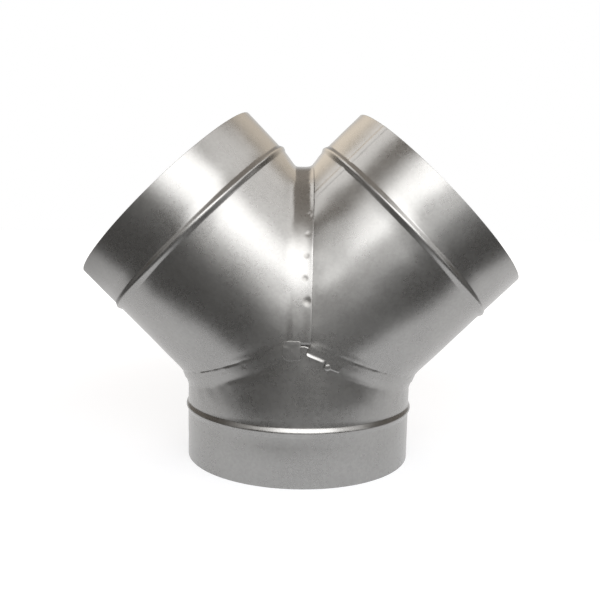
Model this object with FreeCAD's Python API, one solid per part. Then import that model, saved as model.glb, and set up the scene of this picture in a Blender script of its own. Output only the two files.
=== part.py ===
"""Duct Y branch of galvanised sheet steel.

A trunk tube divides into two branch tubes of the same diameter, one to each side. Each tube is
rolled from sheet, has a stop bead behind its plain spigot end, and is mitred where it meets the
other two. Along every seam the sheets are turned square to the mitre plane, so that one collar
laps over the other in a narrow band. Where the three seams meet, at the front and at the back,
an ear of the trunk sheet is folded over to lock the corner.

Millimetres and degrees. +Z is up, the origin is the centre of the trunk's rim, and the branches
leave to -X and +X.
"""

import FreeCAD, Part
import math
import os

from FreeCAD import Vector

# Sheet and spigots: the tube ends slip into a duct of 250 mm inside diameter
spigot_diameter = 249.0
sheet = 0.7
branch_angle = 45.0
trunk_spigot = 57.0
branch_spigot = 53.0

# Straight sheet between each stop bead and the nearest seam band
trunk_neck = 18.5
branch_throat = 17.0

# Stop bead rolled into each tube, and its profile in shares of the width and the height
bead_width = 9.0
bead_height = 3.0
bead_profile = ((-0.5, 0), (-0.3, 0.3), (-0.12, 1), (0.12, 1), (0.3, 0.3), (0.5, 0))

# Lap bands along the three mitred seams
band_width = 16.0
joggle_length = 2.0
lap_clearance = 0.1
lap_end_gap = 0.5
corner_relief = 1.0

# Welded lengthwise seam of each tube: a flattened ridge, at an angle round the tube
ridge_width = 8.0
ridge_height = 0.3
branch_ridge_angle = 39.0

# Locking ear of the trunk sheet, folded over the left branch at each corner
ear_width = 18.0
ear_height = 19.0
ear_corner = 5.0
ear_drop = 0.5
ear_root_width = 4.0
ear_root_height = 6.0

# Right-hand foot collar beside the corner: a lip that springs off the trunk, then a welding tab
lip_length = 20.0
lip_width = 4.5
lip_lift = 42.0
tab_gap = 1.5
tab_length = 16.0
tab_reach = 7.0

radius = spigot_diameter / 2
half_band = band_width / 2
lap_level = radius + lap_clearance
lap_top = lap_level + sheet
inner_lap_length = band_width - joggle_length - lap_end_gap

# Directions of the three axes, out from the point where they meet, and of the front
outwards, upwards = math.sin(math.radians(branch_angle)), math.cos(math.radians(branch_angle))
TRUNK, LEFT, RIGHT = Vector(0, 0, -1), Vector(-outwards, 0, upwards), Vector(outwards, 0, upwards)
FRONT = Vector(0, -1, 0)


def half_angle(own, other):
    """Half the angle between two tube axes, in radians."""
    return own.getAngle(other) / 2


def seam_normal(own, other):
    """Normal of the mitre plane between two tubes, towards the own side."""
    return (own - other).normalize()


def seam_run(own, other):
    """Direction in which the seam runs from the front corner to the side of the part."""
    return (own + other).normalize()


def band_edge(own, other):
    """Distance along a tube's axis, from the meeting point to the furthest edge of its seam band."""
    half = half_angle(own, other)
    return radius / math.tan(half) + half_band / math.sin(half)


trunk_bead = band_edge(TRUNK, LEFT) + trunk_neck + bead_width / 2
branch_bead = band_edge(LEFT, RIGHT) + branch_throat + bead_width / 2
trunk_length = trunk_bead + trunk_spigot
branch_length = branch_bead + branch_spigot
meeting_point = Vector(0, 0, trunk_length)
reach = 2 * (branch_length + spigot_diameter)


def beyond(normal, distance):
    """The half space on one side of a plane square to normal, at a distance from the meeting point."""
    block = Part.makeBox(2 * reach, 2 * reach, reach, Vector(-reach, -reach, 0))
    turn = FreeCAD.Rotation(Vector(0, 0, 1), normal)
    block.Placement = FreeCAD.Placement(meeting_point + normal * distance, turn)
    return block


def sliced(solid, normal, distance):
    """The section of a solid by that plane, as a face."""
    plane = Part.makePlane(2 * reach, 2 * reach, Vector(-reach, -reach, 0))
    turn = FreeCAD.Rotation(Vector(0, 0, 1), normal)
    plane.Placement = FreeCAD.Placement(meeting_point + normal * distance, turn)
    return plane.common(solid)


def placed(shape, axis):
    """A shape made along +Z from the meeting point, turned to a tube's own direction."""
    turn = FreeCAD.Rotation(Vector(0, 1, 0), math.degrees(math.atan2(axis.x, axis.z)))
    shape.Placement = FreeCAD.Placement(meeting_point, turn)
    return shape


def joined(*solids):
    """One clean solid from pieces of sheet that share faces."""
    return solids[0].fuse(list(solids[1:])).removeSplitter()


# Tube walls

def wall_line(offset, rim, bead):
    """Points of the tube's outside line, moved outwards by offset, from its far end to the rim."""
    beaded = [(bead_height * rise, bead + bead_width * along) for along, rise in bead_profile]
    line = [(0, -spigot_diameter)] + beaded + [(0, rim)]
    return [Vector(radius + offset + rise, 0, z) for rise, z in line]


def beaded_wall(rim, bead):
    """The wall of a tube with its bead, from far behind the meeting point to the rim."""
    inside, outside = wall_line(-sheet, rim, bead), wall_line(0, rim, bead)
    outline = Part.makePolygon(inside + outside[::-1] + inside[:1])
    return Part.Face(outline).revolve(Vector(), Vector(0, 0, 1), 360)


def welded_ridge(rim, angle):
    """The flattened weld along a tube, at an angle round its axis."""
    corner = Vector(radius - sheet / 2, -ridge_width / 2, 0)
    strip = Part.makeBox(sheet / 2 + ridge_height, ridge_width, rim, corner)
    return strip.rotated(Vector(), Vector(0, 0, 1), angle)


def rolled_tube(axis, others, rim, bead, ridge_angle):
    """A beaded tube with its welded ridge, mitred at the bands of its two seams."""
    tube = placed(joined(beaded_wall(rim, bead), welded_ridge(rim, ridge_angle)), axis)
    for other in others:
        tube = tube.common(beyond(seam_normal(axis, other), half_band))
    return tube


# Lap collars

def lap_shell(axis, inner_radius, outer_radius):
    """A plain tube on one axis, as the stock from which a collar's section is taken."""
    stock = Part.makeCylinder(outer_radius, 2 * spigot_diameter, Vector(0, 0, -spigot_diameter))
    bore = Part.makeCylinder(inner_radius, 2 * spigot_diameter, Vector(0, 0, -spigot_diameter))
    return placed(stock.cut(bore), axis)


def collar(own, other, third, inner_radius, outer_radius, start, length, relief=0):
    """The tube's section at its seam band, drawn straight across the mitre plane by length."""
    normal = seam_normal(own, other)
    corner = beyond(seam_normal(own, third), half_band + relief)
    face = sliced(lap_shell(own, inner_radius, outer_radius).common(corner), normal, half_band)
    band = face.extrude(normal * -length)
    band.translate(normal * -start)
    return band


def inner_collar(own, other, third):
    """The lap that lies inside: the tube's own wall carried on under the outer lap."""
    return collar(own, other, third, radius - sheet, radius, 0, inner_lap_length)


def outer_collar(own, other, third, length):
    """The lap that lies outside: a joggle that lifts the sheet by its thickness, then the lap."""
    lap_length = length - joggle_length
    joggle = collar(own, other, third, radius - sheet, lap_top, 0, joggle_length, corner_relief)
    lap = collar(own, other, third, lap_level, lap_top, joggle_length, lap_length, corner_relief)
    return joggle.fuse(lap)


# Corners where the three seams meet

def plate(points, level, thickness):
    """A flat plate at the front of the part, from points (x, height above the meeting point)."""
    corners = [meeting_point + Vector(x, -level, z) for x, z in points]
    return Part.Face(Part.makePolygon(corners + corners[:1])).extrude(FRONT * thickness)


def both_corners(piece):
    """A piece of the front corner, and the same at the back."""
    return [piece, piece.mirror(Vector(), FRONT)]


def trunk_tongue():
    """Closes the gap between the trunk's two inner collars, above the point of its V cut."""
    point = Vector(0, 0, -half_band / math.sin(half_angle(TRUNK, LEFT)))
    left_end = point - seam_normal(TRUNK, LEFT) * inner_lap_length
    right_end = point - seam_normal(TRUNK, RIGHT) * inner_lap_length
    points = [(p.x, p.z) for p in (point, right_end, left_end)]
    return plate(points, radius - sheet, sheet)


def locking_ear():
    """Ear of the trunk sheet: its root comes out through the corner and the end is folded to the left."""
    level = lap_top + lap_clearance
    low, high = -ear_height / 2 - ear_drop, ear_height / 2 - ear_drop
    outline = [
        (0, low),
        (0, high),
        (-ear_corner, high),
        (-ear_width + ear_corner, high),
        (-ear_width, high - ear_corner),
        (-ear_width, low + ear_corner),
        (-ear_width + ear_corner, low),
    ]
    root_low = -ear_root_height / 2 - ear_drop
    root_high = ear_root_height / 2 - ear_drop
    root = [(0, root_low), (0, root_high), (-ear_root_width, root_high), (-ear_root_width, root_low)]
    return plate(outline, level, sheet).fuse(plate(root, radius, level - radius))


def foot_edge_piece(start, length, pull):
    """A stretch of the right foot collar's free edge, from the corner, drawn on by pull."""
    normal, run, inner_normal = seam_normal(RIGHT, TRUNK), seam_run(RIGHT, TRUNK), seam_normal(RIGHT, LEFT)
    corner = (half_band + corner_relief - half_band * inner_normal.dot(normal)) / inner_normal.dot(run)
    stock = lap_shell(RIGHT, lap_level, lap_top)
    for side, distance in ((FRONT, radius / 2), (run, corner + start), (-run, -corner - start - length)):
        stock = stock.common(beyond(side, distance))
    face = sliced(stock, normal, half_band)
    face.translate(normal * -half_band)
    return face.extrude(pull)


def sprung_lip():
    """The collar's edge next to the corner, bent away from the trunk."""
    lift = math.radians(lip_lift)
    pull = (seam_normal(TRUNK, RIGHT) * math.cos(lift) + FRONT * math.sin(lift)) * lip_width
    return foot_edge_piece(0, lip_length, pull)


def welding_tab():
    """A longer stretch of the collar, flat on the trunk's lap."""
    return foot_edge_piece(lip_length + tab_gap, tab_length, seam_normal(TRUNK, RIGHT) * tab_reach)


# Trunk: the inside lap of both foot seams, with the locking ears

trunk = joined(
    rolled_tube(TRUNK, (LEFT, RIGHT), trunk_length, trunk_bead, 90),
    inner_collar(TRUNK, LEFT, RIGHT),
    inner_collar(TRUNK, RIGHT, LEFT),
    *both_corners(trunk_tongue()),
    *both_corners(locking_ear()),
)

# Left branch: the outside lap of the middle seam and of its foot seam

left_branch = joined(
    rolled_tube(LEFT, (TRUNK, RIGHT), branch_length, branch_bead, branch_ridge_angle),
    outer_collar(LEFT, RIGHT, TRUNK, band_width - lap_end_gap),
    outer_collar(LEFT, TRUNK, RIGHT, half_band),
)

# Right branch: the inside lap of the middle seam and the outside lap of its foot seam

right_branch = joined(
    rolled_tube(RIGHT, (TRUNK, LEFT), branch_length, branch_bead, 180 + branch_ridge_angle),
    inner_collar(RIGHT, LEFT, TRUNK),
    outer_collar(RIGHT, TRUNK, LEFT, half_band),
    *both_corners(sprung_lip()),
    *both_corners(welding_tab()),
)

# One file for each tube

os.makedirs("parts", exist_ok=True)
trunk.exportStep("parts/trunk_tube.step")
left_branch.exportStep("parts/left_branch_tube.step")
right_branch.exportStep("parts/right_branch_tube.step")

for name, shape in (("trunk", trunk), ("left branch", left_branch), ("right branch", right_branch)):
    box = shape.BoundBox
    print(name, shape.ShapeType, len(shape.Solids), "valid", shape.isValid(), "volume", round(shape.Volume),
          "box", [round(v, 2) for v in (box.XMin, box.XMax, box.YMin, box.YMax, box.ZMin, box.ZMax)])
print("trunk length", round(trunk_length, 2), "branch length", round(branch_length, 2))
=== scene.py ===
"""Duct Y branch of galvanised sheet steel: the looks of its three tubes, and a plain pale studio."""

import math

import bmesh
import bpy
import numpy as np
from mathutils import Matrix, Vector


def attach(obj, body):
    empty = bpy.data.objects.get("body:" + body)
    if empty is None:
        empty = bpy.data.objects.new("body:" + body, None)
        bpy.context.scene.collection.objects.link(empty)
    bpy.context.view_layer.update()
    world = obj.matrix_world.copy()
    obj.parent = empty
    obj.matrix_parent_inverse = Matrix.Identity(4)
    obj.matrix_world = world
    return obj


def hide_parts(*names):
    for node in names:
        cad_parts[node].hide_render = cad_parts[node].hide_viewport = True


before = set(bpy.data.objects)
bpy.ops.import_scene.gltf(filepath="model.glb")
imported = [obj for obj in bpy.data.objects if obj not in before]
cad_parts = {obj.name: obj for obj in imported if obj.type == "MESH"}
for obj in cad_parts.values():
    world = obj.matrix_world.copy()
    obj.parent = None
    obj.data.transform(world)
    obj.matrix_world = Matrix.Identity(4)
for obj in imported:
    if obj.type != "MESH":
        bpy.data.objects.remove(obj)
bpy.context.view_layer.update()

# Trunk tube: the lower tube, rolled from 0.7 mm galvanised sheet with a stop bead behind its spigot.
# Its upper end is cut to a V at the front and the back and turned up into two collars, which lie
# under the collars of the branches. A tongue of the same sheet fills the point of each V.

FULL_TURN = 2 * math.pi
SLANT = math.sqrt(0.5)
FRONT = np.array([0.0, -1.0, 0.0])
RIGHT_SIDE = np.array([1.0, 0.0, 0.0])
TRUNK_AXIS = np.array([0.0, 0.0, -1.0])
LEFT_AXIS = np.array([-SLANT, 0.0, SLANT])
RIGHT_AXIS = np.array([SLANT, 0.0, SLANT])
SHEET = 0.0007
RADIUS = 0.1245
COLUMNS = 720
HALF_BAND = 0.008
INNER_LAP = 0.0135
TRUNK_LENGTH = 0.1402287
TRUNK_BEAD = 0.0832287
TRUNK_RIDGE = math.radians(-90)
TRUNK_SEED = 11
MEETING_POINT = np.array([0, 0, TRUNK_LENGTH])


def unit(vector):
    """A vector, or each row of vectors, at length one."""
    return vector / np.linalg.norm(vector, axis=-1, keepdims=True)


def smooth_step(low, high, value):
    """Rises smoothly from 0 at low to 1 at high."""
    share = np.clip((value - low) / (high - low), 0, 1)
    return share * share * (3 - 2 * share)


WAVES = 14
SHORTEST_WAVE = 0.35


def hand_waves(seed, round_by, along, longest):
    """The slight unevenness of rolled sheet, about one in size, over its two directions in metres."""
    draw = np.random.default_rng(seed)
    total = np.zeros(np.broadcast(round_by, along).shape)
    for _ in range(WAVES):
        length = longest * draw.uniform(SHORTEST_WAVE, 1)
        turn = draw.uniform(0, math.pi)
        phase = draw.uniform(0, FULL_TURN)
        run = np.cos(turn) * round_by + np.sin(turn) * along
        total = total + np.sin(FULL_TURN * run / length + phase) / math.sqrt(WAVES)
    return total


BEAD_WIDTH = 0.0112
BEAD_HEIGHT = 0.0022
BEAD_CROWN, BEAD_FEET = 0.3, 0.25


def bead_rise(along):
    """Height of the rolled bead above the wall: a roof with a rounded crown and rounded feet."""
    share = np.clip(np.abs(along) / (BEAD_WIDTH / 2), 0, 1)
    fall = np.where(share < BEAD_CROWN, share ** 2 / (2 * BEAD_CROWN), share - BEAD_CROWN / 2)
    fall = fall - np.clip(share - 1 + BEAD_FEET, 0, None) ** 2 / (2 * BEAD_FEET)
    return BEAD_HEIGHT * (1 - fall / (1 - (BEAD_CROWN + BEAD_FEET) / 2))


RIDGE_WIDTH = 0.008
RIDGE_HEIGHT = 0.0003
RIDGE_FLANK = 0.0011
RIDGE_RUN_OUT = 0.006


def ridge_rise(turned, from_cut):
    """Height of the lengthwise seam above the wall: a low flat ridge that runs out at the cut end."""
    from_ridge = RADIUS * np.abs((turned + math.pi) % FULL_TURN - math.pi)
    rise = RIDGE_HEIGHT * smooth_step(RIDGE_WIDTH / 2, RIDGE_WIDTH / 2 - RIDGE_FLANK, from_ridge)
    return rise[None] * smooth_step(0, RIDGE_RUN_OUT, from_cut)


WALL_WAVE, WALL_WAVE_LENGTH = 0.00022, 0.09
CUT_WAVE, CUT_WAVE_LENGTH = 0.00007, 0.04
CUT_WAVE_NONE, CUT_WAVE_FULL = 0.035, 0.004
STIFF_AT_BEAD, FREE_OF_BEAD = 0.004, 0.03
FREE_OF_RIM = 0.02
FREE_OF_CUT = 0.004


def wall_waves(seed, round_by, along, from_bead, from_rim, from_cut):
    """The wall's unevenness, finer near the seams, and held flat at the rim, the bead and the cut."""
    waves = WALL_WAVE * hand_waves(seed, round_by, along, WALL_WAVE_LENGTH)
    waves = waves * smooth_step(STIFF_AT_BEAD, FREE_OF_BEAD, from_bead)
    waves = waves * smooth_step(0, FREE_OF_RIM, from_rim)
    near_cut = smooth_step(CUT_WAVE_NONE, CUT_WAVE_FULL, from_cut)
    waves = waves + CUT_WAVE * hand_waves(seed + 1, round_by, along, CUT_WAVE_LENGTH) * near_cut
    return waves * smooth_step(0, FREE_OF_CUT, from_cut)


FOLD_WIDTH = 0.003
JOGGLE_START, JOGGLE_END = -0.007, 0.0022
DIP_REACH = 0.0122
DIP_CURVE = 1.3
CREASE_WIDTH = 0.0013


def fold_fill(across):
    """How far a rounded fold stands above a sharp one, for each radian that the sheet is bent by."""
    return np.clip(FOLD_WIDTH - np.abs(across), 0, None) ** 2 / (4 * FOLD_WIDTH)


def set_at_seam(across, lift, dip, crease, bent):
    """How far out the sheet lies, on the way across a seam: its joggle, dip, crease and round fold."""
    joggle = lift * smooth_step(JOGGLE_START, JOGGLE_END, across)
    drawn_in = dip * np.clip(1 + across / DIP_REACH, 0, 1) ** DIP_CURVE
    groove = crease * np.exp(-((across / CREASE_WIDTH) ** 2))
    return joggle - drawn_in - groove + bent * fold_fill(across)


CURL_START, CURL_FULL = 0.009, 0.003
CURL_TURN = 0.0022
CURL_UNEVEN, CURL_WAVE_LENGTH = 0.45, 0.05


def edge_curl(curl, seed, run_by, from_edge):
    """The slight roll of a collar's free edge, out and then back, uneven along its run."""
    uneven = 1 + CURL_UNEVEN * hand_waves(seed, run_by, 0 * run_by, CURL_WAVE_LENGTH)
    back = np.clip(1 - from_edge / CURL_TURN, 0, 1) ** 2
    return curl * uneven * (smooth_step(CURL_START, CURL_FULL, from_edge) - back)


DIMPLE_CURVE = 1.5
STAIN_EDGE, STAIN_FULL = 1.25, 0.7


def pressed_welds(welds, from_corner, across):
    """How deep the spot welds press a collar, and how much they dull its zinc."""
    pressed = np.zeros_like(across)
    dulled = np.zeros_like(across)
    for place, setback, size, depth, stain in welds:
        away = np.hypot(from_corner - place, across - setback) / size
        pressed = pressed + depth * np.clip(1 - away * away, 0, 1) ** DIMPLE_CURVE
        dulled = np.maximum(dulled, stain * smooth_step(STAIN_EDGE, STAIN_FULL, away))
    return pressed, dulled


def seam(own, other, length, lift=0.0, curl=0.0, dip=0.0, crease=0.0, welds=(), edge=None):
    """One collar of a tube: the mitre plane that it crosses, how far it goes and how it lies."""
    return {
        "normal": unit(own - other),
        "run": unit(own + other),
        "over": other,
        "length": length,
        "lift": lift,
        "curl": curl,
        "dip": dip,
        "crease": crease,
        "welds": welds,
        "edge": edge,
    }


COLLAR_ROWS = np.array([0.0005, 0.0012, 0.0022, 0.0032, 0.0044, 0.0056, 0.0068, 0.0079])
SHORT_TAIL = np.linspace(0, 1, 5)[1:]
LONG_TAIL = np.concatenate([np.linspace(0, 0.8, 11)[1:], [0.86, 0.9, 0.94, 0.97, 1]])


def collar_strip(s, base, outwards, lift, dip, crease, bent, seed):
    """The points of one collar, in rows from the cut end across the mitre plane, and its weld marks."""
    steps = np.linalg.norm(np.diff(base, axis=0), axis=1)
    run_by = np.concatenate([[0], np.cumsum(steps)])
    from_corner = np.minimum(run_by, run_by[-1] - run_by)
    lengths = np.full(len(base), s["length"])
    bend = np.zeros(len(base))
    if s["edge"]:
        lengths, bend = s["edge"](s, base, lengths)
    past_band = s["length"] > 2 * HALF_BAND
    tail = LONG_TAIL if past_band else SHORT_TAIL
    across = np.vstack([
        np.repeat(COLLAR_ROWS[:, None], len(base), axis=1),
        COLLAR_ROWS[-1] + (lengths - COLLAR_ROWS[-1]) * tail[:, None],
    ])
    raised = set_at_seam(across, lift, dip, crease, bent)
    if past_band:
        raised = raised + bent * fold_fill(across - 2 * HALF_BAND)
    raised = raised + bend * np.clip(across - HALF_BAND, 0, None)
    rise = outwards @ s["over"] / -(s["normal"] @ s["over"])
    raised = raised + rise * np.clip(across - 2 * HALF_BAND, 0, None)
    raised = raised + edge_curl(s["curl"], seed, run_by, lengths - across)
    pressed, marks = pressed_welds(s["welds"], from_corner, across)
    raised = raised - pressed
    return base - across[..., None] * s["normal"] + raised[..., None] * outwards, marks


def strip_faces(names):
    """Quads between the neighbours of a grid of points."""
    corners = (names[:-1, :-1], names[:-1, 1:], names[1:, 1:], names[1:, :-1])
    return np.stack(corners, axis=-1).reshape(-1, 4)


def facing_out(points, faces, out):
    """The same faces, each wound so that it looks the way of out at its place."""
    a, b, c, d = (points[faces[:, i]] for i in range(4))
    wrong = (np.cross(c - a, d - b) * out).sum(axis=1) < 0
    faces = faces.copy()
    faces[wrong] = faces[wrong][:, [1, 0, 3, 2]]
    return faces


def sheet_piece(name, outside, faces, marks):
    """A closed piece of sheet: its outside, its inside one thickness in, and the cut edges between."""
    a, b, c, d = (outside[faces[:, i]] for i in range(4))
    facing = np.cross(c - a, d - b)
    normals = np.zeros_like(outside)
    for i in range(4):
        np.add.at(normals, faces[:, i], facing)
    inside = outside - SHEET * unit(normals)
    edges = np.concatenate([faces[:, [i, (i + 1) % 4]] for i in range(4)])
    edges = edges[edges[:, 0] != edges[:, 1]]
    count = len(outside)
    keys = edges.min(axis=1) * count + edges.max(axis=1)
    _, first, uses = np.unique(keys, return_index=True, return_counts=True)
    free = edges[first[uses == 1]]
    cut = np.stack([free[:, 1], free[:, 0], free[:, 0] + count, free[:, 1] + count], axis=1)
    every = np.vstack([faces, faces[:, ::-1] + count, cut])
    mesh = bpy.data.meshes.new(name)
    corners = [list(dict.fromkeys(face)) for face in every.tolist()]
    mesh.from_pydata(np.vstack([outside, inside]).tolist(), [], corners)
    mesh.polygons.foreach_set("use_smooth", np.arange(len(every)) < 2 * len(faces))
    weld_mark = mesh.attributes.new("weld_mark", "FLOAT", "POINT")
    weld_mark.data.foreach_set("value", np.concatenate([marks, marks]))
    piece = bpy.data.objects.new(name, mesh)
    bpy.context.scene.collection.objects.link(piece)
    return piece


LIFT_FADE = 0.006
DIP_NONE, DIP_FULL = math.radians(32), math.radians(4)
CREASE_NONE, CREASE_FULL = 0.025, 0.08
CREASE_UNEVEN, CREASE_WAVE_LENGTH = 0.5, 0.02
RIM_ROW = 0.0003
SPIGOT_ROWS, BEAD_ROWS, BODY_ROWS = 6, 15, 9
ROWS_AT_CUT = np.array([0.0125, 0.0095, 0.007, 0.005, 0.0035, 0.002, 0.0009, 0])


def rolled_tube(name, axis, inner_side, rim, bead, seams, ridge_turn, seed, tongues=False):
    """A beaded tube from its rim to its two collars, the first of them on the tube's inner side."""
    lean = [inner_side @ s["normal"] for s in seams]
    slope = [axis @ s["normal"] for s in seams]

    # Columns round the tube, one of them moved to each corner, where both planes cut equally far down
    apart = HALF_BAND * (1 / slope[0] - 1 / slope[1]) / (lean[0] / slope[0] - lean[1] / slope[1])
    corner = math.acos(apart / RADIUS)
    front = round(corner / FULL_TURN * COLUMNS)
    back = COLUMNS - front
    angles = FULL_TURN * np.arange(COLUMNS) / COLUMNS
    angles[front] = corner
    angles[back] = FULL_TURN - corner
    radial = np.cos(angles)[:, None] * inner_side + np.sin(angles)[:, None] * FRONT
    turn = np.minimum(angles, FULL_TURN - angles)
    off_corner = RADIUS * np.abs(turn - corner)
    which = np.where(turn <= corner, 0, 1)
    cuts = [(HALF_BAND - RADIUS * radial @ s["normal"]) / (axis @ s["normal"]) for s in seams]
    end = np.choose(which, cuts)
    outs = [unit(radial - (radial @ s["normal"])[:, None] * s["normal"]) for s in seams]
    out = np.where(which[:, None] == 0, outs[0], outs[1])

    # How the sheet is set at the seam of each column, and how sharply it is bent there
    lift = np.choose(which, [s["lift"] for s in seams])
    if seams[0]["lift"] != seams[1]["lift"]:
        lift = lift * smooth_step(0, LIFT_FADE, off_corner)
    dip = np.choose(which, [s["dip"] for s in seams])
    dip = dip * smooth_step(DIP_NONE, DIP_FULL, turn)
    crease = np.choose(which, [s["crease"] for s in seams])
    crease = crease * smooth_step(CREASE_NONE, CREASE_FULL, off_corner)
    crease_waves = hand_waves(seed + 3, RADIUS * angles, 0 * angles, CREASE_WAVE_LENGTH)
    crease = crease * (1 + CREASE_UNEVEN * crease_waves)
    bent = np.arccos(np.clip((radial * out).sum(axis=1), -1, 1))

    # Rows from the rim over the bead to the cut end, closer together towards the seam
    bead_top = bead + BEAD_WIDTH / 2
    bead_foot = bead - BEAD_WIDTH / 2
    spigot = np.concatenate([[rim], np.linspace(rim - RIM_ROW, bead_top, SPIGOT_ROWS)])
    over_bead = np.linspace(bead_top, bead_foot, BEAD_ROWS)[1:]
    down_body = np.linspace(0, 1, BODY_ROWS)[1:]
    along = np.vstack([
        np.repeat(np.concatenate([spigot, over_bead])[:, None], COLUMNS, axis=1),
        bead_foot + (end + ROWS_AT_CUT[0] - bead_foot)[None] * down_body[:, None],
        end[None] + ROWS_AT_CUT[1:, None],
    ])
    from_cut = along - end
    raised = np.maximum(bead_rise(along - bead), ridge_rise(angles - ridge_turn, from_cut))
    from_bead = np.abs(along - bead)
    waves = wall_waves(seed, RADIUS * angles[None], along, from_bead, rim - along, from_cut)
    reach = RADIUS + raised + waves
    settled = set_at_seam((end - along) * np.choose(which, slope), lift, dip, crease, bent)
    points = MEETING_POINT + along[..., None] * axis + reach[..., None] * radial
    points = points + settled[..., None] * out
    names = np.arange(along.size).reshape(along.shape)
    cut_end = names[-1]
    vertices = [points.reshape(-1, 3)]
    faces = [strip_faces(np.hstack([names, names[:, :1]]))]
    marks = [np.zeros(along.size)]
    count = along.size

    # Collars straight across the mitre planes from the cut end, the outer ones notched at the corners
    strips = []
    spans = (np.arange(back, COLUMNS + front + 1) % COLUMNS, np.arange(front, back + 1))
    for s, own, outwards in zip(seams, spans, outs):
        if s["lift"]:
            own = own[1:-1]
        base = MEETING_POINT + end[own][:, None] * axis + RADIUS * radial[own]
        lies = (lift[own], dip[own], crease[own], bent[own])
        strip, mark = collar_strip(s, base, outwards[own], *lies, seed + 2)
        names = np.vstack([cut_end[own], count + np.arange(mark.size).reshape(mark.shape)])
        vertices.append(strip.reshape(-1, 3))
        faces.append(strip_faces(names))
        marks.append(mark.ravel())
        strips.append(names)
        count += mark.size

    # Tongues between the ends of the two collars, which meet at the corners
    if tongues:
        for one, two in ((strips[0][:, -1], strips[1][:, 0]), (strips[0][:, 0], strips[1][:, -1])):
            faces.append(np.array([[one[0], one[1], two[1], two[1]]]))
            faces.append(strip_faces(np.stack([one[1:], two[1:]], axis=1)))
    vertices = np.vstack(vertices)
    faces = np.vstack(faces)
    away = vertices[faces].mean(axis=1) - MEETING_POINT
    faces = facing_out(vertices, faces, away - (away @ axis)[:, None] * axis)
    return sheet_piece(name, vertices, faces, np.concatenate(marks))


class Value:
    """A socket that varies over a surface. Operators on it add Math nodes to its node tree."""

    def __init__(self, tree, socket=None):
        self.tree = tree
        self.socket = socket

    def node(self, kind, settings=None, inputs=None, output=0):
        """Any node: its settings are set first, then its sockets get values or links."""
        made = self.tree.nodes.new(kind)
        for key, setting in (settings or {}).items():
            if key == "stops":
                for stop, (position, colour) in zip(made.color_ramp.elements, setting):
                    stop.position = position
                    stop.color = colour
            else:
                setattr(made, key, setting)
        for key, given in (inputs or {}).items():
            if isinstance(given, Value):
                self.tree.links.new(given.socket, made.inputs[key])
            else:
                made.inputs[key].default_value = given
        return Value(self.tree, made.outputs[output] if made.outputs else None)

    def maths(self, operation, first, second):
        """The Math node of an operator."""
        return self.node("ShaderNodeMath", {"operation": operation}, {0: first, 1: second})

    def __add__(self, other):
        return self.maths("ADD", self, other)

    def __sub__(self, other):
        return self.maths("SUBTRACT", self, other)

    def __rsub__(self, other):
        return self.maths("SUBTRACT", other, self)

    def __mul__(self, other):
        return self.maths("MULTIPLY", self, other)

    __radd__ = __add__
    __rmul__ = __mul__


SPANGLE_SCALE = 420.0
GRAIN_SCALE, GRAIN_DETAIL = 300.0, 2.0
CLOUD_SCALE, CLOUD_DETAIL = 22.0, 4.0
SPANGLE_TONE, GRAIN_TONE, CLOUD_TONE = 0.2, 0.25, 0.55
DULL_ZINC = (0.25, (0.295, 0.292, 0.286, 1))
PALE_ZINC = (0.75, (0.365, 0.362, 0.355, 1))
WELD_GREY = (0.24, 0.23, 0.215, 1)
WELD_SHARE = 0.35
SMOOTHEST = 0.23
SPANGLE_ROUGH, CLOUD_ROUGH, WELD_ROUGH = 0.03, 0.08, 0.08
GRAIN_STRENGTH, GRAIN_DEPTH = 0.03, 0.0004


def galvanised(name, shift):
    """Zinc-coated steel: a faint fine spangle, cloudy patches and duller spots at the welds."""
    material = bpy.data.materials.new(name)
    material.use_nodes = True
    tree = material.node_tree
    tree.nodes.clear()
    start = Value(tree)
    place = start.node("ShaderNodeTexCoord", output="Object")
    own_part = {"Vector": place, "Location": (shift, shift * 0.7, 0)}
    moved = start.node("ShaderNodeMapping", {}, own_part)
    cells = start.node(
        "ShaderNodeTexVoronoi", {}, {"Vector": moved, "Scale": SPANGLE_SCALE}, output="Color"
    )
    spangle = start.node("ShaderNodeSeparateColor", {}, {"Color": cells}, output="Red")
    grain = start.node(
        "ShaderNodeTexNoise", {}, {"Vector": moved, "Scale": GRAIN_SCALE, "Detail": GRAIN_DETAIL}
    )
    cloud = start.node(
        "ShaderNodeTexNoise", {}, {"Vector": moved, "Scale": CLOUD_SCALE, "Detail": CLOUD_DETAIL}
    )
    weld = start.node("ShaderNodeAttribute", {"attribute_name": "weld_mark"}, output="Fac")
    tone = SPANGLE_TONE * spangle + GRAIN_TONE * grain + CLOUD_TONE * cloud
    zinc = start.node("ShaderNodeValToRGB", {"stops": [DULL_ZINC, PALE_ZINC]}, {"Fac": tone})
    dulled = start.node(
        "ShaderNodeMix",
        {"data_type": "RGBA"},
        {0: weld * WELD_SHARE, 6: zinc, 7: WELD_GREY},
        output=2,
    )
    rough = SMOOTHEST + SPANGLE_ROUGH * spangle + CLOUD_ROUGH * cloud + WELD_ROUGH * weld
    bumps = start.node(
        "ShaderNodeBump",
        {},
        {"Strength": GRAIN_STRENGTH, "Distance": GRAIN_DEPTH, "Height": grain},
    )
    surface = start.node(
        "ShaderNodeBsdfPrincipled",
        {},
        {"Base Color": dulled, "Metallic": 1.0, "Roughness": rough, "Normal": bumps},
    )
    start.node("ShaderNodeOutputMaterial", {}, {"Surface": surface})
    return material


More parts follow.
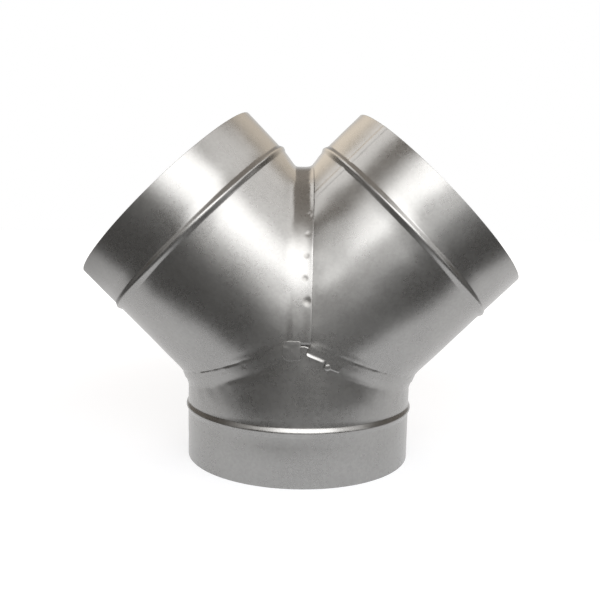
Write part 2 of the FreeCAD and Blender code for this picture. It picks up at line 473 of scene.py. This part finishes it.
trunk_sheet = rolled_tube(
    "trunk_sheet",
    TRUNK_AXIS,
    RIGHT_SIDE,
    TRUNK_LENGTH,
    TRUNK_BEAD,
    [seam(TRUNK_AXIS, RIGHT_AXIS, INNER_LAP), seam(TRUNK_AXIS, LEFT_AXIS, INNER_LAP)],
    TRUNK_RIDGE,
    TRUNK_SEED,
    tongues=True,
)
trunk_sheet.data.materials.append(galvanised("trunk_zinc", 1.0))
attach(trunk_sheet, "root")
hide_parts("trunk_tube")

# Left branch tube: the same rolled sheet, mitred to the trunk and to the other branch. Both of its
# collars lie outside, dressed down over the bands below and spot welded through to them. At the
# crotch the sheet of both branches is drawn in a little.

BRANCH_LENGTH = 0.2103137
BRANCH_BEAD = 0.1573137
BRANCH_RIDGE = math.radians(39)
LEFT_SEED = 21
LAP_GAP = 0.0001
LAP_LIFT = SHEET + LAP_GAP
MIDDLE_LAP = 0.019
EDGE_CURL = 0.0003
CROTCH_DIP = 0.0042
LEFT_CREASE = 0.0006

# Setback from the cut end, size and depth of each weld of the middle seam, from the corner upwards
MIDDLE_WELDS = [
    (0.0142, 0.0046, 0.0006),
    (0.0116, 0.0032, 0.0004),
    (0.0128, 0.003, 0.0003),
    (0.0138, 0.003, 0.0003),
    (0.0154, 0.0032, 0.0006),
    (0.0140, 0.0034, 0.0004),
    (0.0130, 0.0034, 0.0004),
    (0.0125, 0.0034, 0.0004),
]
MIDDLE_WELD_START, MIDDLE_WELD_PITCH = 0.0404, 0.02225
FOOT_WELD_PITCH = 0.026
FOOT_WELD_STEPS = range(2, 7)
FOOT_WELD_SETBACK, FOOT_WELD_SIZE, FOOT_WELD_DEPTH = 0.005, 0.0034, 0.00008
STAINED, UNSTAINED = 1, 0

middle_welds = [
    (MIDDLE_WELD_START + MIDDLE_WELD_PITCH * k, setback, size, depth, STAINED)
    for k, (setback, size, depth) in enumerate(MIDDLE_WELDS)
]
foot_welds = [
    (FOOT_WELD_PITCH * k, FOOT_WELD_SETBACK, FOOT_WELD_SIZE, FOOT_WELD_DEPTH, UNSTAINED)
    for k in FOOT_WELD_STEPS
]
left_sheet = rolled_tube(
    "left_branch_sheet",
    LEFT_AXIS,
    RIGHT_AXIS,
    BRANCH_LENGTH,
    BRANCH_BEAD,
    [
        seam(LEFT_AXIS, RIGHT_AXIS, MIDDLE_LAP, LAP_LIFT, EDGE_CURL, CROTCH_DIP, welds=middle_welds),
        seam(LEFT_AXIS, TRUNK_AXIS, HALF_BAND, LAP_LIFT, crease=LEFT_CREASE, welds=foot_welds),
    ],
    -BRANCH_RIDGE,
    LEFT_SEED,
)
left_sheet.data.materials.append(galvanised("left_zinc", 2.0))
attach(left_sheet, "root")
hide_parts("left_branch_tube")

# Right branch tube: the same rolled sheet again. Its middle collar lies inside the left branch's, and
# its foot collar outside the trunk's. Next to the corner the foot collar's edge springs off the trunk
# as a lip, and a longer tab beside it stands off slightly.

RIGHT_SEED = 31
RIGHT_CREASE = 0.0004
NEAR_CORNER = 0.8 * RADIUS
LIP_START, LIP_END = 0.0038, 0.0274
LIP_RISE, LIP_FALL = 0.006, 0.002
LIP_WIDTH = 0.0033
LIP_LIFT = math.radians(25)
TAB_START, TAB_END = 0.0279, 0.0439
TAB_REACH = 0.007
TAB_LIFT = math.radians(4)


def lip_and_tab(s, base, lengths):
    """The right foot collar's length along its run, and how steeply its edge bends outwards."""
    run = (base - MEETING_POINT) @ s["run"]
    near_corner = np.abs(base[:, 1]) > NEAR_CORNER
    lip = smooth_step(LIP_START, LIP_START + LIP_RISE, run)
    lip = near_corner * (lip * smooth_step(LIP_END, LIP_END - LIP_FALL, run))
    tab = near_corner & (run > TAB_START) & (run < TAB_END)
    lengths = lengths + lip * LIP_WIDTH * math.cos(LIP_LIFT) + tab * TAB_REACH
    return lengths, lip * math.tan(LIP_LIFT) + tab * math.tan(TAB_LIFT)


right_foot = seam(
    RIGHT_AXIS,
    TRUNK_AXIS,
    HALF_BAND,
    LAP_LIFT,
    crease=RIGHT_CREASE,
    welds=foot_welds,
    edge=lip_and_tab,
)
right_sheet = rolled_tube(
    "right_branch_sheet",
    RIGHT_AXIS,
    LEFT_AXIS,
    BRANCH_LENGTH,
    BRANCH_BEAD,
    [seam(RIGHT_AXIS, LEFT_AXIS, INNER_LAP, dip=CROTCH_DIP), right_foot],
    BRANCH_RIDGE,
    RIGHT_SEED,
)
right_sheet.data.materials.append(galvanised("right_zinc", 3.0))
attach(right_sheet, "root")
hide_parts("right_branch_tube")

# Locking ears: short ends of the trunk's sheet, pushed out through the front and the back corner
# where the three seams meet, folded over to the left and hammered flat.

EAR_LEVEL = 0.1258
EAR_OUTLINE = [
    (0.0008, -0.0105),
    (0.0008, 0.0085),
    (-0.012, 0.009),
    (-0.017, 0.004),
    (-0.0172, -0.006),
    (-0.0125, -0.0112),
]
EAR_ROUNDING, EAR_ROUNDING_STEPS = 0.0022, 6
EAR_RINGS = np.array([0.25, 0.5, 0.72, 0.88, 0.96, 1])
EAR_SAG = 0.7
EAR_BEATING, EAR_BEATING_LENGTH, EAR_SEED = 0.00012, 0.011, 41
EAR_EDGE_DROP = 0.0001
FOLD_MIDDLE, FOLD_RADIUS = 0.0004, 0.0008
FOLD_LOW, FOLD_HIGH = -0.0045, 0.0035
FOLD_STEPS, FOLD_ROWS = 9, 7


def rounded(points, radius, steps):
    """An outline with its corners rounded off."""
    line = []
    count = len(points)
    for k, point in enumerate(points):
        before = point + radius * unit(points[k - 1] - point)
        after = point + radius * unit(points[(k + 1) % count] - point)
        for t in np.linspace(0, 1, steps):
            line.append((1 - t) ** 2 * before + 2 * t * (1 - t) * point + t * t * after)
    return np.array(line)


def locking_ear(name, side):
    """One ear, on the side of the part that side points to, with the fold at its root."""
    outline = rounded(np.array(EAR_OUTLINE), EAR_ROUNDING, EAR_ROUNDING_STEPS)
    middle = outline.mean(axis=0)
    rings = middle + EAR_RINGS[:, None, None] * (outline - middle)
    flat = np.vstack([[middle], rings.reshape(-1, 2)])
    x, z = flat[:, 0], flat[:, 1]
    edge = np.concatenate([[0], np.repeat(EAR_RINGS, len(outline))])
    sag = np.minimum(x ** 2, ((x + z) * SLANT) ** 2) / (2 * RADIUS)
    beaten = EAR_BEATING * hand_waves(EAR_SEED, x, z, EAR_BEATING_LENGTH)
    level = EAR_LEVEL - EAR_SAG * sag + beaten - EAR_EDGE_DROP * edge ** 4
    plate = MEETING_POINT + np.stack([x, 0 * x, z], axis=1) + level[:, None] * side
    names = 1 + np.arange(len(flat) - 1).reshape(len(EAR_RINGS), -1)
    names = np.hstack([names, names[:, :1]])
    hub = np.zeros(len(outline), int)
    fan = np.stack([hub, names[0, :-1], names[0, 1:], names[0, 1:]], axis=1)
    plate_faces = facing_out(plate, np.vstack([fan, strip_faces(names)]), side)

    # The fold: a half round from the ear's edge back under it, to the trunk's tongue
    grid = (FOLD_STEPS, FOLD_ROWS)
    bow = np.linspace(math.pi / 2, -math.pi / 2, FOLD_STEPS)[:, None]
    x = np.broadcast_to(FOLD_MIDDLE + FOLD_RADIUS * np.cos(bow), grid)
    z = np.broadcast_to(np.linspace(FOLD_LOW, FOLD_HIGH, FOLD_ROWS), grid)
    level = np.broadcast_to(EAR_LEVEL - FOLD_RADIUS * (1 - np.sin(bow)), grid)
    fold = MEETING_POINT + np.stack([x, 0 * x, z], axis=-1) + level[..., None] * side
    fold = fold.reshape(-1, 3)
    fold_faces = strip_faces(np.arange(len(fold)).reshape(grid))
    bulge = fold[fold_faces].mean(axis=1) - MEETING_POINT - (EAR_LEVEL - FOLD_RADIUS) * side
    bulge[:, 2] = 0
    fold_faces = facing_out(fold, fold_faces, bulge) + len(plate)
    points = np.vstack([plate, fold])
    ear = sheet_piece(name, points, np.vstack([plate_faces, fold_faces]), np.zeros(len(points)))
    ear.data.materials.append(galvanised(name + "_zinc", 4.0))
    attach(ear, "root")
    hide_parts("trunk_tube")


locking_ear("front_ear", FRONT)
locking_ear("back_ear", -FRONT)

# Tab rivets: one small steel rivet through each tab of the right branch, front and back, with a low
# domed head.

RIVET_RADIUS = 0.0034
RIVET_HEIGHT = 0.0011
RIVET_RIM = 0.2
RIVET_SUNK = 0.0002
RIVET_RUN, RIVET_DOWN = 0.0318, 0.0055
RIVET_RINGS, RIVET_SIDES = 8, 32
RIVET_MERGE = 0.000005
RIVET_SHARP = math.radians(50)


def tab_rivet(name, side):
    """One rivet head on the tab, on the side of the part that side points to."""
    normal = unit(RIGHT_AXIS - TRUNK_AXIS)
    run = unit(RIGHT_AXIS + TRUNK_AXIS)
    slope = RIGHT_AXIS @ normal
    centre = HALF_BAND / slope * (RIGHT_AXIS @ run)
    share = (RIVET_RUN - centre) * slope / RADIUS
    level = RADIUS * math.sqrt(1 - share ** 2) + LAP_LIFT + RIVET_DOWN * math.tan(TAB_LIFT)
    place = MEETING_POINT + RIVET_RUN * run - RIVET_DOWN * normal + level * side
    out = unit(math.sqrt(1 - share ** 2) * side + share * slope * run)
    one = unit(np.cross(out, normal))
    two = np.cross(out, one)
    profile = []
    for bow in np.linspace(0, math.pi / 2, RIVET_RINGS):
        height = RIVET_HEIGHT * (RIVET_RIM + (1 - RIVET_RIM) * math.cos(bow))
        profile.append((RIVET_RADIUS * math.sin(bow), height))
    profile.append((RIVET_RADIUS, -RIVET_SUNK))
    points = []
    for radius, height in profile:
        for turn in np.linspace(0, FULL_TURN, RIVET_SIDES, endpoint=False):
            spoke = math.cos(turn) * one + math.sin(turn) * two
            points.append(tuple(place + height * out + radius * spoke))
    names = np.arange(len(points)).reshape(len(profile), RIVET_SIDES)
    faces = strip_faces(np.hstack([names, names[:, :1]])).tolist() + [names[-1].tolist()]
    mesh = bpy.data.meshes.new(name)
    mesh.from_pydata(points, [], faces)
    mesh.validate()
    work = bmesh.new()
    work.from_mesh(mesh)
    bmesh.ops.remove_doubles(work, verts=work.verts, dist=RIVET_MERGE)
    bmesh.ops.recalc_face_normals(work, faces=work.faces)
    work.to_mesh(mesh)
    work.free()
    mesh.shade_smooth()
    mesh.set_sharp_from_angle(angle=RIVET_SHARP)
    rivet = bpy.data.objects.new(name, mesh)
    bpy.context.scene.collection.objects.link(rivet)
    mesh.materials.append(galvanised(name + "_zinc", 5.0))
    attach(rivet, "root")


tab_rivet("front_tab_rivet", FRONT)
tab_rivet("back_tab_rivet", -FRONT)

# Studio floor: plain and pale, white to the camera. The metal shows that white too where it mirrors a
# sweep of floor round the object. Further out, in front and to the far left, it mirrors a dimmer floor
# with painted light on it: a glowing strip in front, a glowing patch to the front right and a glow that
# grows far out, all given off by the floor though it is no lamp.

FLOOR = 6.0
PALE_FLOOR = (0.408, 0.42, 0.445, 1)
DIM_FLOOR = (0.07, 0.07, 0.07, 1)
SWEEP_CENTRE = (0.035, 0.51, 0)
SWEEP_RADIUS = 0.775
OBJECT_CENTRE = (0, 0, 0)
# Painted light on the dim floor: where its glowing strip in front is centred, and how brightly the
# strip and the patch to the front right glow.
FRONT_STRIP_MIDDLE = 0.06
FRONT_STRIP_GLOW, RIGHT_PATCH_GLOW = 0.16, 0.36

# Each fade: where it starts and where it ends, and its value before and after
SWEEP_EDGE = (SWEEP_RADIUS - 0.03, SWEEP_RADIUS + 0.04, 1.0, 0.0)
SWEEP_LEFT = (-0.56, -0.4, 0.5, 1.0)
FLOOR_WHITE = (0.3, 1.5, 0.65, 1.0)
FRONT_STRIP = (0.1, 0.28, 1.0, 0.0)
RIGHT_PATCH = (0.35, 0.7, 0.0, 1.0)
RIGHT_PATCH_DEEP = (-1.1, -0.5, 1.0, 0.0)
FAR_GLOW = (0.9, 2.1, 0.07, 0.25)


def fading(value, fade):
    """A value that changes smoothly with another one, as a fade says."""
    low, high, before, after = fade
    return value.node(
        "ShaderNodeMapRange",
        {"interpolation_type": "SMOOTHSTEP"},
        {"Value": value, "From Min": low, "From Max": high, "To Min": before, "To Max": after},
    )


def size_of(value):
    """A value without its sign."""
    return value.node("ShaderNodeMath", {"operation": "ABSOLUTE"}, {0: value})


def distance_from(spot, place):
    """How far a spot is from a place."""
    ends = {0: spot, 1: place}
    return spot.node("ShaderNodeVectorMath", {"operation": "DISTANCE"}, ends, output="Value")


def sees_white(start, background):
    """Share of a ray that meets white: all from the camera, and off metal or glass the background."""
    camera_ray = start.node("ShaderNodeLightPath", output="Is Camera Ray")
    glossy_ray = start.node("ShaderNodeLightPath", output="Is Glossy Ray")
    glass_ray = start.node("ShaderNodeLightPath", output="Is Transmission Ray")
    mirrored = (glossy_ray + glass_ray) * background
    return start.node("ShaderNodeMath", {"operation": "MAXIMUM"}, {0: camera_ray, 1: mirrored})


floor_mesh = bpy.data.meshes.new("floor")
floor_mesh.from_pydata(
    [(-FLOOR, -FLOOR, 0), (FLOOR, -FLOOR, 0), (FLOOR, FLOOR, 0), (-FLOOR, FLOOR, 0)],
    [],
    [(0, 1, 2, 3)],
)
floor = bpy.data.objects.new("floor", floor_mesh)
bpy.context.scene.collection.objects.link(floor)
floor_paint = bpy.data.materials.new("floor_paint")
floor_paint.use_nodes = True
floor_paint.node_tree.nodes.clear()
start = Value(floor_paint.node_tree)
spot = start.node("ShaderNodeTexCoord", output="Object")
right = start.node("ShaderNodeSeparateXYZ", {}, {0: spot}, output="X")
deep = start.node("ShaderNodeSeparateXYZ", {}, {0: spot}, output="Y")
off_object = distance_from(spot, OBJECT_CENTRE)
sweep = fading(distance_from(spot, SWEEP_CENTRE), SWEEP_EDGE) * fading(right, SWEEP_LEFT)
# Painted light for the metal to mirror: a glowing strip in front, a glowing patch to the front right
# and a glow that grows far out.
in_front = fading(size_of(right - FRONT_STRIP_MIDDLE), FRONT_STRIP)
front_right = fading(right, RIGHT_PATCH) * fading(deep, RIGHT_PATCH_DEEP)
painted_glow = FRONT_STRIP_GLOW * in_front + RIGHT_PATCH_GLOW * front_right + fading(off_object, FAR_GLOW)
paleness = fading(off_object, FLOOR_WHITE)
pale = start.node("ShaderNodeBsdfDiffuse", {}, {"Color": PALE_FLOOR})
white = start.node("ShaderNodeEmission", {}, {"Color": paleness, "Strength": 1.0})
dim = start.node("ShaderNodeBsdfDiffuse", {}, {"Color": DIM_FLOOR})
# The painted glow, given off by the floor though it is no lamp, where the metal mirrors the dim floor.
glow = start.node("ShaderNodeEmission", {}, {"Color": painted_glow, "Strength": 1.0})
shown = start.node("ShaderNodeAddShader", {}, {0: pale, 1: white})
hidden = start.node("ShaderNodeAddShader", {}, {0: dim, 1: glow})
both = start.node("ShaderNodeMixShader", {}, {0: sees_white(start, sweep), 1: hidden, 2: shown})
start.node("ShaderNodeOutputMaterial", {}, {"Surface": both})
floor_mesh.materials.append(floor_paint)

# Studio room: a white backdrop, which the metal shows too where it mirrors what is straight behind the
# object, and dimmer walls with a warm bright corner behind on either side.

BLACK = (0.0, (0, 0, 0, 1))
WARM_WALL = (1.0, (1.12, 1.0, 0.88, 1))
WARM_CORNER = (1.0, (1.35, 1.19, 0.98, 1))
WHITE = (1.0, 1.0, 1.0, 1)
BACKDROP = (0.86, 0.95, 0.0, 1.0)
WALL_BEHIND = (-0.3, 0.7, 0.12, 0.28)
WALL_ABOVE = (0.35, 0.95, 0.0, 0.24)
CORNER_START = (0.08, 0.35, 0.0, 1.0)
CORNER_END = (0.5, 0.75, 1.0, 0.0)
CORNER_BEHIND = (0.2, 0.65, 0.0, 1.0)
CORNER_ABOVE = (0.05, 0.2, 0.0, 1.0)
LEFT_TO_RIGHT = (-0.4, 0.4, 1.0, 0.65)

world = bpy.data.worlds.new("studio")
bpy.context.scene.world = world
world.use_nodes = True
world.node_tree.nodes.clear()
start = Value(world.node_tree)
heading = start.node("ShaderNodeTexCoord", output="Generated")
sideways = start.node("ShaderNodeSeparateXYZ", {}, {0: heading}, output="X")
behind = start.node("ShaderNodeSeparateXYZ", {}, {0: heading}, output="Y")
above = start.node("ShaderNodeSeparateXYZ", {}, {0: heading}, output="Z")
aside = size_of(sideways)
corner = fading(aside, CORNER_START) * fading(behind, CORNER_BEHIND) * fading(above, CORNER_ABOVE)
corner = corner * fading(sideways, LEFT_TO_RIGHT) * fading(aside, CORNER_END)
wall = fading(behind, WALL_BEHIND) + fading(above, WALL_ABOVE)
corner_tint = start.node("ShaderNodeValToRGB", {"stops": [BLACK, WARM_CORNER]}, {"Fac": corner})
wall_tint = start.node("ShaderNodeValToRGB", {"stops": [BLACK, WARM_WALL]}, {"Fac": wall})
corners = start.node("ShaderNodeBackground", {}, {"Color": corner_tint, "Strength": 1.0})
walls = start.node("ShaderNodeBackground", {}, {"Color": wall_tint, "Strength": 1.0})
room = start.node("ShaderNodeAddShader", {}, {0: walls, 1: corners})
white = start.node("ShaderNodeBackground", {}, {"Color": WHITE, "Strength": 1.0})
seen = sees_white(start, fading(behind, BACKDROP))
sky = start.node("ShaderNodeMixShader", {}, {0: seen, 1: room, 2: white})
start.node("ShaderNodeOutputWorld", {}, {"Surface": sky})

# Soft lamps: rectangular diffusers in front and high on both sides, all facing the middle of the
# object. Each line gives a lamp's name, direction, distance, width, height and power.

LAMP_AIM = Vector((0, 0, 0.2))
SOFT_LAMPS = [
    ("front_lamp", (0.14, -0.85, 0.5), 1.6, 1.6, 0.85, 12.5),
    ("front_fill", (0.1, -0.83, 0.5), 1.7, 2.5, 1.4, 8.0),
    ("front_low", (0.08, -0.99, 0.075), 1.7, 1.0, 0.42, 0.85),
    ("right_side", (0.78, -0.5, 0.3), 1.6, 0.6, 0.9, 1.7),
    ("left_side", (-0.78, -0.5, 0.3), 1.6, 0.6, 0.9, 0.7),
    ("right_low", (0.3, -0.95, 0.05), 1.7, 0.6, 0.45, 0.65),
    ("left_fill", (-0.5, -0.7, 0.52), 1.6, 0.7, 0.6, 1.2),
    ("right_lamp", (0.62, -0.25, 0.74), 1.6, 0.9, 0.9, 3.4),
    ("right_back", (0.67, 0.19, 0.72), 1.6, 0.45, 0.6, 1.2),
    ("left_lamp", (-0.6, 0.06, 0.79), 1.6, 0.9, 1.0, 4.3),
]
for name, towards, distance, width, height, power in SOFT_LAMPS:
    out = Vector(towards).normalized()
    lamp_data = bpy.data.lights.new(name, "AREA")
    lamp_data.shape = "RECTANGLE"
    lamp_data.size = width
    lamp_data.size_y = height
    lamp_data.energy = power
    lamp = bpy.data.objects.new(name, lamp_data)
    lamp.location = LAMP_AIM + out * distance
    lamp.rotation_euler = out.to_track_quat("Z", "Y").to_euler()
    lamp.visible_camera = False
    bpy.context.scene.collection.objects.link(lamp)

# Camera: at the photograph's place and angle, found by a fit of the rims, beads and silhouettes. Its
# focal length is in pixels of a square frame, and its angles are in degrees.

CAMERA_PLACE = Vector((-0.00313, -0.81321, 0.27685))
CAMERA_YAW, CAMERA_PITCH, CAMERA_ROLL = 0.1876, 7.2863, 1.2054
FOCAL_PIXELS, FRAME_PIXELS = 726.68, 600
SENSOR_WIDTH = 36
camera_data = bpy.data.cameras.new("camera")
camera_data.sensor_width = SENSOR_WIDTH
camera_data.lens = SENSOR_WIDTH * (FOCAL_PIXELS / FRAME_PIXELS)
camera = bpy.data.objects.new("camera", camera_data)
camera_turn = (
    Matrix.Rotation(math.radians(-CAMERA_YAW), 4, "Z")
    @ Matrix.Rotation(math.radians(90 - CAMERA_PITCH), 4, "X")
    @ Matrix.Rotation(math.radians(CAMERA_ROLL), 4, "Z")
)
camera.matrix_world = Matrix.Translation(CAMERA_PLACE) @ camera_turn
bpy.context.scene.collection.objects.link(camera)
bpy.context.scene.camera = camera
bpy.context.scene.view_settings.view_transform = "Standard"
